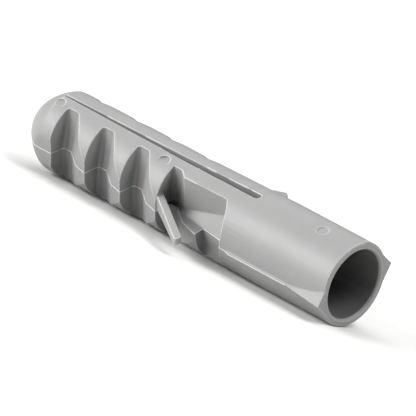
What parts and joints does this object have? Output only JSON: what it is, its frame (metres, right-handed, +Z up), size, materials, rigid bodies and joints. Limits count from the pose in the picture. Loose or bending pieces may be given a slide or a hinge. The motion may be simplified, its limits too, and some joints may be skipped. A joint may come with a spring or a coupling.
{
  "type": "wall plug",
  "caption": "Cylindrical expansion wall plug with a blunt nose, a split toothed shank, locking tongues, a plain neck with side fins and an open bore for a screw.",
  "frame": {"origin": "centre of the mouth, on the plug's axis and in the plane of the mouth's face", "axes": "+X along the plug's axis, out of the mouth, with the nose towards -X; +Z up as the plug lies, rolled 30 degrees about its axis, so that the slit faces up 30 degrees over towards -Y and the nearer locking tongue dips towards -Y"},
  "size_m": [0.09, 0.0328, 0.0191],
  "materials": {
    "nylon": "satin grey nylon as moulded"
  },
  "bodies": {
    "root": {"wall_plug": "nylon"}
  },
  "joints": []
}
